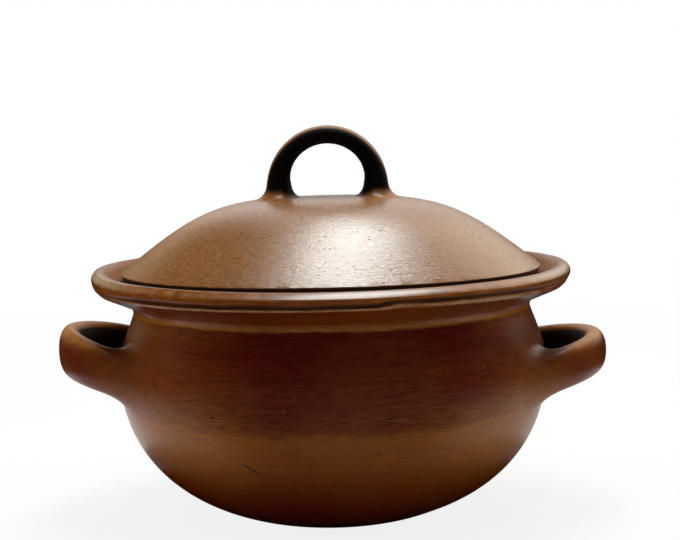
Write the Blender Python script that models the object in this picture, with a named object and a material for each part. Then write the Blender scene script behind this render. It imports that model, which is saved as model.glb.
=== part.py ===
# Hand-made clay casserole pot: a thrown body with two strap ears, and a domed lid with a strap loop.
# Metres, +Z up, origin at the centre of the foot. The ears stand on the X axis.
import math

import bmesh
import bpy

# Pot body
FOOT_RADIUS = 0.050
FOOT_ANGLE = math.radians(14)      # rise of the wall where it leaves the foot
FOOT_PULL = 0.041                  # how far the wall keeps that direction
BELLY_RADIUS = 0.1178
BELLY_HEIGHT = 0.080               # height of the widest part of the belly
BELLY_PULL = 0.042
SHOULDER_PULL = 0.014
NECK_INSET = 0.0095                # the neck is this much narrower than the belly
NECK_RISE = 0.0355                 # the neck lies this much above the widest part
NECK_LEAN = math.radians(12)       # inward lean of the shoulder at the neck
NECK_PULL = 0.010
NECK_FILLET = 0.004
BODY_WALL = 0.008
FLOOR_THICKNESS = 0.009
THROAT_FILLET = 0.006

# Rim: a flare with a sloping face round its lip, and a small bead under that
RIM_OVERHANG = 0.0227              # the lip reaches this far beyond the neck
RIM_RISE = 0.0191                  # the crest of the lip lies this much above the neck
CREST_INSET = 0.0062               # from the edge of the lip in to its crest
CREST_RADIUS = 0.0020
NOSE_RADIUS = 0.0026               # round of the outer edge, under the sloping face
NOSE_DROP = 0.0052                 # from the crest down to the middle of that round
BEAD_RADIUS = 0.0022
BEAD_INSET = 0.0004                # the bead stays this much inside the lip
BEAD_DROP = 0.0030                 # from the centre of the nose down to the centre of the bead
SEAT_ANGLE = math.radians(29)      # slope of the seat inside the flare

# Side handles
EAR_REACH = 0.0332                 # beyond the widest part of the belly
EAR_SPAN = 0.104                   # outside width along the belly
EAR_THICKNESS = 0.012
EAR_ROOT_SPREAD = 0.0040           # extra half thickness where the strap meets the belly
EAR_ROOT_FALL = 0.0035             # the lower edge drops this much there
EAR_LIFT = 0.0075                  # the outer end stands this much higher than the roots
LEFT_EAR_DROP = 0.0314             # from the neck down to the middle of the strap at its roots
LEFT_EAR_BAND = 0.0214             # height of the strap at its roots
LEFT_EAR_SWELL = 0.0060            # the upper edge climbs this much more at the outer end
RIGHT_EAR_DROP = 0.0360            # the two ears were made by eye and do not match
RIGHT_EAR_BAND = 0.0200
RIGHT_EAR_SWELL = 0.0022

# Lid
LID_INSET = 0.0085                 # from the crest of the seat in to the edge of the lid
LID_WALL = 0.007
LID_RISE = 0.0409                  # crown above the centre of the rounded edge
LID_EDGE_ANGLE = math.radians(39)  # slope of the lid at its edge
LID_EDGE_PULL = 0.0585
LID_CROWN_PULL = 0.057

# Loop on the lid
LOOP_HEIGHT = 0.0388               # top of the loop above the crown
LOOP_SPAN = 0.0632                 # outside width
LOOP_LEG = 0.0078                  # straight leg under the arch
LOOP_TOP_THICKNESS = 0.0097
LOOP_LEG_THICKNESS = 0.0098
LOOP_DEPTH = 0.030                 # width of the strap, front to back
LOOP_ROOT_SPREAD = 0.0035
LOOP_ROOT_DEPTH = 0.004
LOOP_SHIFT = 0.0008                # set by eye, this much to the left of the lid's axis

# Fits shared by all pieces
SEAM_GAP = 0.0003                  # clay to clay, at the luted seams and at the lid's seat
ROOT_DEPTH = 0.012                 # a strap is modelled this far past the seam, then cut to it
ROOT_FADE = 0.011                  # a strap's spread fades over this distance from the seam

# Fineness of the surfaces
TURN_STEPS = 56
WALL_POINTS = 10
SHOULDER_POINTS = 5
ROUND_POINTS = 5
DOME_POINTS = 13
STRAP_POINTS = 18
SECTION_POINTS = 14
SECTION_POWER = 2.7                # between an ellipse (2) and a rectangle
CORNER_TENSION = 0.6               # how closely an eased corner keeps to its own tip
MERGE_DISTANCE = 0.00001           # joins the first and last step of a turn, and its points on the axis

# Burnished slip, one shade for each kind of piece (linear red, green and blue)
BODY_COLOUR = (0.110, 0.038, 0.016)
EAR_COLOUR = (0.150, 0.058, 0.026)
LID_COLOUR = (0.160, 0.066, 0.032)
LOOP_COLOUR = (0.120, 0.047, 0.022)
BODY_ROUGHNESS = 0.36
EAR_ROUGHNESS = 0.40
LID_ROUGHNESS = 0.34
LOOP_ROUGHNESS = 0.38

# Heights and radii that follow from the sizes above
NECK_RADIUS = BELLY_RADIUS - NECK_INSET
NECK_HEIGHT = BELLY_HEIGHT + NECK_RISE
RIM_RADIUS = NECK_RADIUS + RIM_OVERHANG
RIM_HEIGHT = NECK_HEIGHT + RIM_RISE
CREST_CENTRE = (RIM_RADIUS - CREST_INSET, RIM_HEIGHT - CREST_RADIUS)
NOSE_CENTRE = (RIM_RADIUS - NOSE_RADIUS, RIM_HEIGHT - NOSE_DROP)
BEAD_CENTRE = (RIM_RADIUS - BEAD_INSET - BEAD_RADIUS, NOSE_CENTRE[1] - BEAD_DROP)
SEAT_TOP = (CREST_CENTRE[0] - CREST_RADIUS * math.sin(SEAT_ANGLE),
            CREST_CENTRE[1] + CREST_RADIUS * math.cos(SEAT_ANGLE))
LID_EDGE = LID_WALL / 2            # radius of the lid's rounded edge
LID_EDGE_CENTRE = SEAT_TOP[0] - LID_INSET - LID_EDGE


def seat_height(radius):
    """Height of the sloping seat inside the flare."""
    return SEAT_TOP[1] - (SEAT_TOP[0] - radius) * math.tan(SEAT_ANGLE)


# The lid's own frame has its origin on the axis, level with the centre of its rounded edge.
LID_HEIGHT = seat_height(LID_EDGE_CENTRE) + (LID_EDGE + SEAM_GAP) / math.cos(SEAT_ANGLE)


def bezier(start, pull_out, pull_in, end, count):
    """Points of a cubic curve, both ends included."""
    points = []
    for index in range(count):
        t = index / (count - 1)
        weights = ((1 - t) ** 3, 3 * (1 - t) ** 2 * t, 3 * (1 - t) * t ** 2, t ** 3)
        corners = (start, pull_out, pull_in, end)
        points.append(tuple(sum(w * corner[axis] for w, corner in zip(weights, corners)) for axis in (0, 1)))
    return points


def arc(centre, radius, first, last, count):
    """Points of a circular arc between two angles in radians, both ends included."""
    points = []
    for index in range(count):
        angle = first + (last - first) * index / (count - 1)
        points.append((centre[0] + radius * math.cos(angle), centre[1] + radius * math.sin(angle)))
    return points


def toward(origin, target, distance):
    """The point at a distance from origin, on the way to target."""
    share = distance / math.dist(origin, target)
    return tuple(a + (b - a) * share for a, b in zip(origin, target))


def rounded(before, corner, after, size, count):
    """A corner eased over a length on both of its sides."""
    start = toward(corner, before, size)
    end = toward(corner, after, size)
    reach = size * CORNER_TENSION
    return bezier(start, toward(start, corner, reach), toward(end, corner, reach), end, count)


def offset(points, distance):
    """A curve moved to its left by a distance, or to its right if the distance is negative."""
    moved = []
    for index, (radius, height) in enumerate(points):
        before = points[max(index - 1, 0)]
        after = points[min(index + 1, len(points) - 1)]
        length = math.dist(before, after)
        moved.append((radius - distance * (after[1] - before[1]) / length,
                      height + distance * (after[0] - before[0]) / length))
    return moved


def belly_curve():
    """Outside of the wall, from the foot up to the neck."""
    widest = (BELLY_RADIUS, BELLY_HEIGHT)
    lower = bezier(
        (FOOT_RADIUS, 0),
        (FOOT_RADIUS + FOOT_PULL * math.cos(FOOT_ANGLE), FOOT_PULL * math.sin(FOOT_ANGLE)),
        (BELLY_RADIUS, BELLY_HEIGHT - BELLY_PULL),
        widest,
        WALL_POINTS,
    )
    upper = bezier(
        widest,
        (BELLY_RADIUS, BELLY_HEIGHT + SHOULDER_PULL),
        (NECK_RADIUS + NECK_PULL * math.sin(NECK_LEAN), NECK_HEIGHT - NECK_PULL * math.cos(NECK_LEAN)),
        (NECK_RADIUS, NECK_HEIGHT),
        SHOULDER_POINTS,
    )
    return lower + upper[1:]


def groove_angles():
    """Where the bead and the nose cross on the outside, as an angle about each centre."""
    span = math.dist(BEAD_CENTRE, NOSE_CENTRE)
    upward = math.atan2(NOSE_CENTRE[1] - BEAD_CENTRE[1], NOSE_CENTRE[0] - BEAD_CENTRE[0])
    at_bead = math.acos((span ** 2 + BEAD_RADIUS ** 2 - NOSE_RADIUS ** 2) / (2 * span * BEAD_RADIUS))
    at_nose = math.acos((span ** 2 + NOSE_RADIUS ** 2 - BEAD_RADIUS ** 2) / (2 * span * NOSE_RADIUS))
    return upward - at_bead, upward - math.pi + at_nose


def face_angle():
    """Direction that the sloping face of the lip looks in: it touches both the nose and the crest."""
    span = math.dist(CREST_CENTRE, NOSE_CENTRE)
    upward = math.atan2(CREST_CENTRE[1] - NOSE_CENTRE[1], CREST_CENTRE[0] - NOSE_CENTRE[0])
    return upward - math.acos((NOSE_RADIUS - CREST_RADIUS) / span)


def lip_curve():
    """The lip from the underside of the bead, over the nose and the crest, to the top of the seat."""
    rise = math.atan2(BEAD_CENTRE[1] - NECK_HEIGHT, BEAD_CENTRE[0] - NECK_RADIUS)
    underside = rise - math.asin(BEAD_RADIUS / math.dist(BEAD_CENTRE, (NECK_RADIUS, NECK_HEIGHT)))
    bead_end, nose_start = groove_angles()
    bead = arc(BEAD_CENTRE, BEAD_RADIUS, underside - math.pi / 2, bead_end, ROUND_POINTS)
    nose = arc(NOSE_CENTRE, NOSE_RADIUS, nose_start, face_angle(), ROUND_POINTS)
    crest = arc(CREST_CENTRE, CREST_RADIUS, face_angle(), SEAT_ANGLE + math.pi / 2, ROUND_POINTS)
    return bead + nose[1:] + crest


def pot_profile():
    """Half section of the pot: up the inside, over the rim and down the outside."""
    wall = belly_curve()
    lip = lip_curve()
    neck = rounded(wall[-2], wall[-1], lip[0], NECK_FILLET, ROUND_POINTS)
    inside = [point for point in offset(wall, BODY_WALL) if point[1] > FLOOR_THICKNESS]
    throat_radius = NECK_RADIUS - BODY_WALL
    throat_corner = (throat_radius, seat_height(throat_radius))
    throat = rounded(inside[-1], throat_corner, lip[-1], THROAT_FILLET, ROUND_POINTS)
    floor_edge = (inside[0][0] - (inside[0][1] - FLOOR_THICKNESS), FLOOR_THICKNESS)
    outside = wall[:-1] + neck + lip
    return [(0, FLOOR_THICKNESS), floor_edge] + inside + throat + outside[::-1] + [(0, 0)]


def dome_curve():
    """Outside of the lid from its crown to its edge, in the lid's own frame."""
    across = math.cos(LID_EDGE_ANGLE)
    up = math.sin(LID_EDGE_ANGLE)
    edge = (LID_EDGE_CENTRE + LID_EDGE * up, LID_EDGE * across)
    shoulder = (edge[0] - LID_EDGE_PULL * across, edge[1] + LID_EDGE_PULL * up)
    return bezier((0, LID_RISE), (LID_CROWN_PULL, LID_RISE), shoulder, edge, DOME_POINTS)


def lid_profile():
    """Half section of the lid: down the outside, round the edge and up the hollow."""
    outside = dome_curve()
    edge = arc((LID_EDGE_CENTRE, 0), LID_EDGE, math.pi / 2 - LID_EDGE_ANGLE,
               -math.pi / 2 - LID_EDGE_ANGLE, ROUND_POINTS + 2)
    hollow = offset(outside, -LID_WALL)
    return outside + edge[1:-1] + hollow[:0:-1] + [(0, LID_RISE - LID_WALL)]


def height_on(curve, radius):
    """Height of a falling curve at a radius."""
    for (inner, high), (outer, low) in zip(curve, curve[1:]):
        if inner <= radius <= outer:
            return high + (low - high) * (radius - inner) / (outer - inner)
    return curve[-1][1]


def material(name, colour, roughness):
    """Fired clay with a burnished slip."""
    clay = bpy.data.materials.new(name)
    clay.use_nodes = True
    shader = clay.node_tree.nodes["Principled BSDF"]
    shader.inputs["Base Color"].default_value = (*colour, 1)
    shader.inputs["Roughness"].default_value = roughness
    shader.inputs["Metallic"].default_value = 0
    clay.diffuse_color = (*colour, 1)
    return clay


def add_object(name, mesh):
    """A new object in the scene."""
    piece = bpy.data.objects.new(name, mesh)
    bpy.context.scene.collection.objects.link(piece)
    return piece


def turned(name, profile):
    """A solid of revolution: the profile lies at +X and the turn is a Screw modifier."""
    mesh = bpy.data.meshes.new(name)
    points = [(radius, 0, height) for radius, height in profile]
    mesh.from_pydata(points, [(index, index + 1) for index in range(len(points) - 1)], [])
    piece = add_object(name, mesh)
    turn = piece.modifiers.new("turn", "SCREW")
    turn.axis = "Z"
    turn.steps = TURN_STEPS
    turn.render_steps = TURN_STEPS
    turn.use_merge_vertices = True
    turn.merge_threshold = MERGE_DISTANCE
    turn.use_smooth_shade = True
    return piece


def section(half_thickness, half_width, shift):
    """A strap's cross section: a rounded oblong, as pairs across and along the strap's width."""
    points = []
    for index in range(SECTION_POINTS):
        angle = 2 * math.pi * index / SECTION_POINTS
        across = math.copysign(abs(math.cos(angle)) ** (2 / SECTION_POWER), math.cos(angle))
        along = math.copysign(abs(math.sin(angle)) ** (2 / SECTION_POWER), math.sin(angle))
        points.append((half_thickness * across, half_width * along + shift))
    return points


def strap(name, path, sizes):
    """A strap swept along a flat path of (x, y) points. Its width runs along Z."""
    mesh = bpy.data.meshes.new(name)
    shape = bmesh.new()
    rings = []
    for index, (x, y) in enumerate(path):
        before = path[max(index - 1, 0)]
        after = path[min(index + 1, len(path) - 1)]
        length = math.dist(before, after)
        side = ((after[1] - before[1]) / length, -(after[0] - before[0]) / length)
        rings.append([shape.verts.new((x + side[0] * across, y + side[1] * across, along))
                      for across, along in section(*sizes[index])])
    for ring, following in zip(rings, rings[1:]):
        for corner in range(SECTION_POINTS):
            beside = (corner + 1) % SECTION_POINTS
            shape.faces.new((ring[corner], ring[beside], following[beside], following[corner]))
    shape.faces.new(rings[0])
    shape.faces.new(rings[-1])
    bmesh.ops.recalc_face_normals(shape, faces=shape.faces)
    shape.to_mesh(mesh)
    shape.free()
    mesh.shade_smooth()
    return add_object(name, mesh)


def cut_to(piece, cutter):
    """Trim a strap's roots to the surface that they are luted on."""
    seam = piece.modifiers.new("seam", "BOOLEAN")
    seam.operation = "DIFFERENCE"
    seam.object = cutter
    cutter.hide_render = True
    cutter.display_type = "WIRE"


def spread(distance):
    """How much of a strap's root spread is left at a distance from the seam."""
    return math.exp(-max(distance, 0) / ROOT_FADE)


def arch(half_span, rise, base):
    """Half ellipse over the Y axis that starts at x = base, with a straight root at both ends."""
    curve = [(base - ROOT_DEPTH, -half_span)]
    for index in range(STRAP_POINTS + 1):
        angle = math.pi * (index / STRAP_POINTS - 0.5)
        curve.append((base + rise * math.cos(angle), half_span * math.sin(angle)))
    return curve + [(base - ROOT_DEPTH, half_span)]


def add_pot_body():
    """Foot, belly, neck and rim, thrown in one piece."""
    body = turned("pot_body", pot_profile())
    body.data.materials.append(material("body_clay", BODY_COLOUR, BODY_ROUGHNESS))
    return body


def add_ear(name, drop, band, swell, turn, cutter):
    """A horizontal strap ear, luted to the belly at both roots."""
    half_span = (EAR_SPAN - EAR_THICKNESS) / 2
    base = math.sqrt(BELLY_RADIUS ** 2 - half_span ** 2)
    rise = BELLY_RADIUS + EAR_REACH - EAR_THICKNESS / 2 - base
    path = arch(half_span, rise, base)
    sizes = []
    for point in path:
        distance = math.hypot(*point) - BELLY_RADIUS
        share = spread(distance)
        fall = EAR_ROOT_FALL * share / 2
        lift = EAR_LIFT * distance / EAR_REACH
        grow = swell * max(distance, 0) / EAR_REACH / 2
        sizes.append((EAR_THICKNESS / 2 + EAR_ROOT_SPREAD * share, band / 2 + fall + grow, lift - fall + grow))
    ear = strap(name, path, sizes)
    ear.location.z = NECK_HEIGHT - drop
    ear.rotation_euler.z = turn
    ear.data.materials.append(material(name + "_clay", EAR_COLOUR, EAR_ROUGHNESS))
    cut_to(ear, cutter)
    return ear


def add_lid():
    """The domed lid. Its origin lies on the axis along which it lifts."""
    lid = turned("lid_dome", lid_profile())
    lid.location.z = LID_HEIGHT
    lid.data.materials.append(material("lid_clay", LID_COLOUR, LID_ROUGHNESS))
    return lid


def add_loop(lid, cutter):
    """The strap loop on the crown of the lid."""
    half_span = (LOOP_SPAN - LOOP_LEG_THICKNESS) / 2
    spring = LID_RISE + LOOP_LEG
    rise = LOOP_HEIGHT - LOOP_LEG - LOOP_TOP_THICKNESS / 2
    seam = height_on(dome_curve(), half_span)
    path = [(seam - ROOT_DEPTH, -half_span), (seam, -half_span)]
    path += arch(half_span, rise, spring)[1:-1]
    path += [(seam, half_span), (seam - ROOT_DEPTH, half_span)]
    sizes = []
    for height, _ in path:
        share = spread(height - seam)
        climb = max(height - spring, 0) / rise
        thickness = LOOP_LEG_THICKNESS + (LOOP_TOP_THICKNESS - LOOP_LEG_THICKNESS) * climb
        sizes.append((thickness / 2 + LOOP_ROOT_SPREAD * share, LOOP_DEPTH / 2 + LOOP_ROOT_DEPTH * share, 0))
    loop = strap("lid_handle", path, sizes)
    loop.parent = lid
    loop.rotation_euler = (math.pi / 2, -math.pi / 2, 0)
    loop.location.x = -LOOP_SHIFT
    loop.data.materials.append(material("loop_clay", LOOP_COLOUR, LOOP_ROUGHNESS))
    cut_to(loop, cutter)
    return loop


def add_belly_cutter():
    """The outside of the belly and neck, grown by the seam gap."""
    wall = offset(belly_curve(), -SEAM_GAP)
    return turned("belly_cutter", [(0, wall[-1][1])] + wall[::-1] + [(0, wall[0][1])])


def add_dome_cutter(lid):
    """The outside of the lid, grown by the seam gap."""
    dome = offset(dome_curve(), SEAM_GAP)
    cutter = turned("dome_cutter", [(0, dome[0][1])] + dome[1:] + [(0, dome[-1][1])])
    cutter.parent = lid
    return cutter


def main():
    for old in list(bpy.data.objects):
        bpy.data.objects.remove(old)
    add_pot_body()
    belly_cutter = add_belly_cutter()
    add_ear("left_handle", LEFT_EAR_DROP, LEFT_EAR_BAND, LEFT_EAR_SWELL, math.pi, belly_cutter)
    add_ear("right_handle", RIGHT_EAR_DROP, RIGHT_EAR_BAND, RIGHT_EAR_SWELL, 0, belly_cutter)
    lid = add_lid()
    add_loop(lid, add_dome_cutter(lid))


main()
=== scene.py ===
from math import acos, asin, atan2, cos, pi, radians, sin, sqrt, tan

import bpy
import numpy as np
from mathutils import Matrix, Vector


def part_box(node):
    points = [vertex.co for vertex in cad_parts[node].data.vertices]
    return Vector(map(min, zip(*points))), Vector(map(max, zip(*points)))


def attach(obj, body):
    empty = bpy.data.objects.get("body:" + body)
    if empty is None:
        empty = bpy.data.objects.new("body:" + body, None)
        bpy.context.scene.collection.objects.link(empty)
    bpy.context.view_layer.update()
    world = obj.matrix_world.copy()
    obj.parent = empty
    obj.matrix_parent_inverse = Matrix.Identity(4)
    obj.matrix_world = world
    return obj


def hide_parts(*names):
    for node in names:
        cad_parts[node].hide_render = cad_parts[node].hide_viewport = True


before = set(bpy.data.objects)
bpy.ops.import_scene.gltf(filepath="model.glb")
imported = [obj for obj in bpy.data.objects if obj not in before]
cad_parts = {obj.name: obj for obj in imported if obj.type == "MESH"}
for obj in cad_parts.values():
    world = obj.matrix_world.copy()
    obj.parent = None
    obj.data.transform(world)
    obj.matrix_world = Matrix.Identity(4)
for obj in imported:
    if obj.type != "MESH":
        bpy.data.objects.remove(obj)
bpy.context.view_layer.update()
scene = bpy.context.scene
scene.view_settings.view_transform = "Standard"

atAxis = 0.0005  # half sections end this far from the axis, and a fan closes the rest


# Curves of a half section: arrays of (radius, height) points

def cubic(start, pullOut, pullIn, end, count):
    # weighted mean of four handles, (1-t)^3, 3(1-t)^2 t, 3(1-t)t^2 and t^3, as t runs from 0 to 1
    t = np.linspace(0, 1, count)[:, None]
    return ((1 - t) ** 3 * np.array(start) + 3 * (1 - t) ** 2 * t * np.array(pullOut)
            + 3 * (1 - t) * t ** 2 * np.array(pullIn) + t ** 3 * np.array(end))


def arcOf(centre, radius, first, last, count):
    # the centre plus the radius times (cosine, sine) of an angle that runs from first to last
    a = np.linspace(first, last, count)
    return np.array(centre) + radius * stacked(np.cos(a), np.sin(a))


def straight(start, end, count):
    # even steps from start to end
    t = np.linspace(0, 1, count)[:, None]
    return np.array(start) * (1 - t) + np.array(end) * t


def eased(before, corner, after, size, count, pull=0.6):
    # a corner taken off over a length on both sides, by a cubic with handles towards the tip
    corner = np.array(corner)
    start = corner + size * unit(np.array(before) - corner)
    end = corner + size * unit(np.array(after) - corner)
    return cubic(start, start + pull * (corner - start), end + pull * (corner - end), end, count)


def unit(vectors):
    # each vector over its own length
    return vectors / np.maximum(np.linalg.norm(vectors, axis=-1, keepdims=True), 1e-9)


def stacked(*parts):
    # arrays side by side as the parts of points, with single numbers spread over all of them
    return np.stack(np.broadcast_arrays(*parts), axis=-1)


def polar(radius, angle, height):
    # points at a radius and an angle round the Z axis
    return stacked(radius * np.cos(angle), radius * np.sin(angle), height)


def outward(line):
    # normal to the right of the way a half section travels
    run = unit(np.gradient(line, axis=0))
    return stacked(run[:, 1], -run[:, 0])


def travelled(line):
    # length along a line up to each of its points
    return np.concatenate([[0], np.cumsum(np.linalg.norm(np.diff(line, axis=0), axis=1))])


def joined(parts):
    # parts end to end, without the points that two parts share
    line = np.concatenate(parts)
    keep = np.concatenate([[True], np.linalg.norm(np.diff(line, axis=0), axis=1) > 1e-6])
    return line[keep]


# Numbers that change over a surface

def fullTurn(steps):
    # even angles once round, without the last one that is the first again
    return np.linspace(0, 2 * pi, steps, endpoint=False)


def near(values, centre, width):
    # a Gaussian bump, 1 at the centre
    return np.exp(-((values - centre) / width) ** 2)


def ramp(values, low, high):
    # 0 below low and 1 above high, with a smooth step between
    t = np.clip((values - low) / (high - low), 0, 1)
    return t * t * (3 - 2 * t)


def portion(values, least, more):
    # the least where the values are 0, and that much more where they are 1
    return least + more * values


def between(values, pairs):
    # straight lines between pairs of a place and the value there
    return np.interp(values, *np.array(pairs).T)


def wander(angle, waves, seed):
    # a closed wavering line from -1 to 1: cosines with whole numbers of waves, each at its own phase
    phases = np.random.default_rng(seed).uniform(0, 2 * pi, len(waves))
    weights = 1 / np.sqrt(np.array(waves, float))
    waver = sum(w * np.cos(n * angle + p) for n, p, w in zip(waves, phases, weights))
    return waver / weights.sum()


def nicks(angle, count, width, seed):
    # small scallops at random places round a turn: the deepest of a row of Gaussian dents, from 0 to 1
    rng = np.random.default_rng(seed)
    places = rng.uniform(0, 2 * pi, count)[:, None]
    widths = rng.uniform(0.5, 1.6, count)[:, None] * width
    depths = rng.uniform(0.25, 1, count)[:, None]
    away = np.abs((angle - places + pi) % (2 * pi) - pi)
    return (depths * np.exp(-(away / widths) ** 2)).max(axis=0)[None, :]


# Skins: rings of points joined by four-sided faces

def gridFaces(rows, steps, closed):
    # each point of a row with the next one and the two of the row after, closed to a ring where asked
    i, j = np.meshgrid(np.arange(rows - 1), np.arange(steps if closed else steps - 1), indexing="ij")
    k = (j + 1) % steps
    faces = stacked(i * steps + j, i * steps + k, (i + 1) * steps + k, (i + 1) * steps + j)
    return faces.reshape(-1, 4)


def addSkin(name, rings, masks, body, node):
    # ring i and ring i+1 are joined point to point, and each end is closed by a fan to the middle of its ring
    rows, steps = rings.shape[:2]
    points = np.concatenate([rings.reshape(-1, 3), rings[[0, -1]].mean(axis=1)])
    quads = gridFaces(rows, steps, True)
    here = np.arange(steps)
    after = (here + 1) % steps
    last = (rows - 1) * steps
    first = stacked(rows * steps, after, here)
    final = stacked(rows * steps + 1, last + here, last + after)
    a, b, c, d = (points[quads[:, n]] for n in range(4))
    volume = (a * np.cross(b, c)).sum() + (a * np.cross(c, d)).sum()
    if volume < 0:  # rings that run the other way would face inwards
        quads, first, final = quads[:, ::-1], first[:, ::-1], final[:, ::-1]
    mesh = bpy.data.meshes.new(name)
    mesh.from_pydata(points.tolist(), [], quads.tolist() + first.tolist() + final.tolist())
    for key, mask in masks.items():
        values = np.broadcast_to(mask, (rows, steps))
        ends = values[[0, -1]].mean(axis=1)
        layer = mesh.attributes.new(key, "FLOAT", "POINT")
        layer.data.foreach_set("value", np.concatenate([values.ravel(), ends]).astype(np.float32))
    mesh.shade_smooth()
    piece = bpy.data.objects.new(name, mesh)
    scene.collection.objects.link(piece)
    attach(piece, body)
    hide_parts(node)
    print(name, "made,", len(points), "points")
    return piece


def turned(line, shift, lift, steps):
    # the half section carried round the Z axis, each point moved along its own normal by shift and up by lift
    angle = fullTurn(steps)[None, :]
    normal, move = outward(line), shift(angle)
    radius = np.maximum(line[:, :1] + normal[:, :1] * move, 0)
    height = line[:, 1:] + normal[:, 1:] * move + lift(angle)
    return polar(radius, angle, height)


def oblong(steps, power):
    # cosine and sine once round, each raised to 2/power with its sign kept: an ellipse to a rectangle
    c, s = np.cos(fullTurn(steps)), np.sin(fullTurn(steps))
    return np.sign(c) * np.abs(c) ** (2 / power), np.sign(s) * np.abs(s) ** (2 / power)


def strapRings(path, side, width, halves, strap):
    # at each path point: path + side * half thickness * cosine + width * half width * sine of the oblong
    c, s = oblong(strap["steps"], strap["power"])
    return (path[:, None, :] + side[:, None, :] * (halves[:, :1] * c)[..., None]
            + width * (halves[:, 1:2] * s)[..., None])


def lutedRoot(footprint, ring0, ring1, strap):
    # rings past the footprint, sunk under the skin, and then Hermite curves from the footprint to the strap's
    # first ring: they leave along the surface and arrive along the strap, so the root has no corner
    past = [footprint(size, depth) for size, depth in strap["sunk"]]
    print0, print1 = (footprint(size, strap["onSkin"]) for size in (1, 0.9))
    span = np.linalg.norm(ring0 - print0, axis=-1, keepdims=True)
    leave = unit(print1 - print0) * span * strap["pull"]
    arrive = unit(ring1 - ring0) * span * strap["pull"]
    t = np.linspace(0, 1, strap["rootRows"], endpoint=False)[:, None, None]
    skirt = ((2 * t ** 3 - 3 * t ** 2 + 1) * print0 + (t ** 3 - 2 * t ** 2 + t) * leave
             + (3 * t ** 2 - 2 * t ** 3) * ring0 + (t ** 3 - t ** 2) * arrive)
    return np.concatenate([np.stack(past), skirt])


# Pot body

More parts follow.
